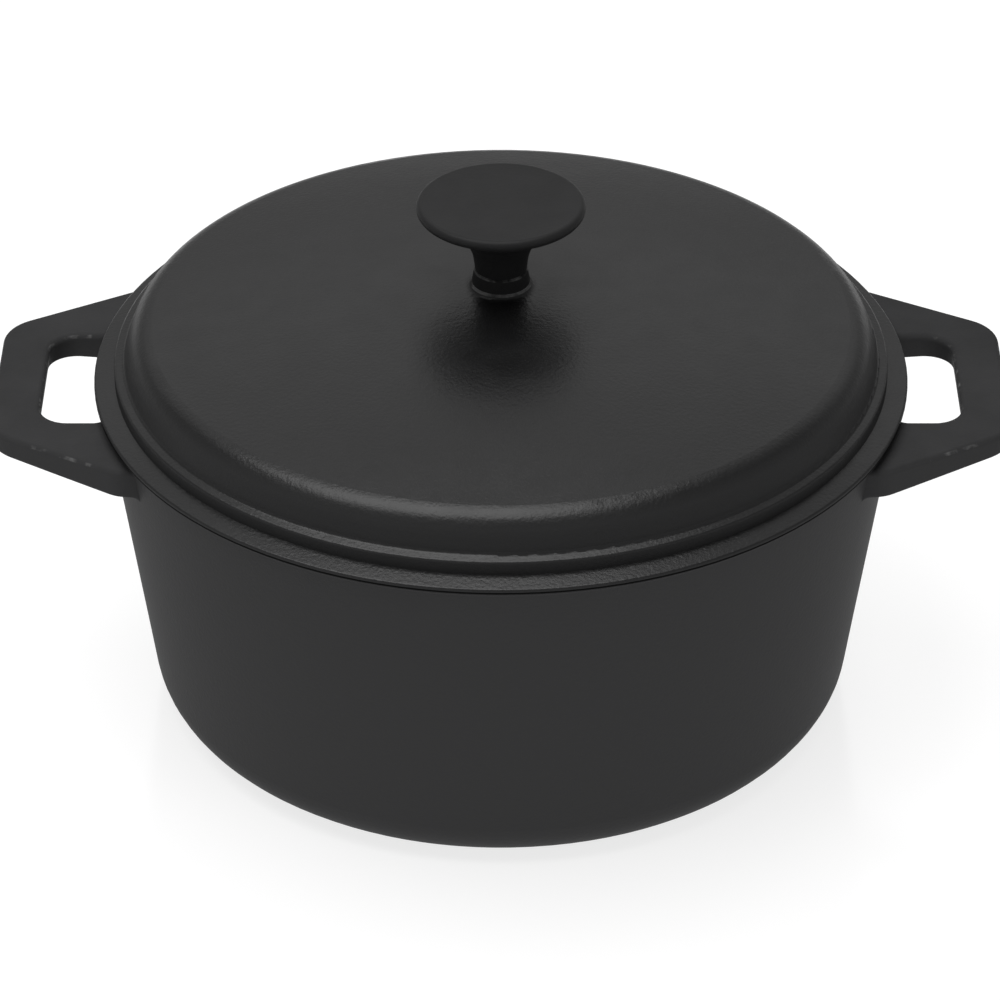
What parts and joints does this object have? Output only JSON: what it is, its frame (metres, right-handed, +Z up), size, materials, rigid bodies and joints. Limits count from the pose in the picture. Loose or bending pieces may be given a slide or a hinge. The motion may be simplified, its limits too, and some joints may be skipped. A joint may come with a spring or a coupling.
{
  "type": "dutch oven",
  "caption": "Round cast iron dutch oven: tapered pot with loop handles, crowned lift-off lid and a mushroom knob held by a screw from below.",
  "frame": {"origin": "centre of the foot ring, on the surface the pot stands on", "axes": "+Z up through the knob; +X through both loop handles; +Y is the side between the handles"},
  "size_m": [0.336, 0.27, 0.1819],
  "materials": {
    "pot_iron": "seasoned, fine pebbled casting skin",
    "lid_iron": "seasoned, fine pebbled casting skin",
    "knob_iron": "seasoned, smooth",
    "fastener_steel": "plain zinc-plated steel"
  },
  "bodies": {
    "pot": {"pot": "pot_iron"},
    "lid": {"lid": "lid_iron", "knob": "knob_iron", "knob_screw": "fastener_steel", "knob_washer": "fastener_steel", "lock_washer": "fastener_steel"}
  },
  "joints": [
    {"name": "lid_lift", "type": "slide", "parent": "pot", "child": "lid", "axis": [0, 0, 1], "range_m": [0, 0.2]}
  ]
}
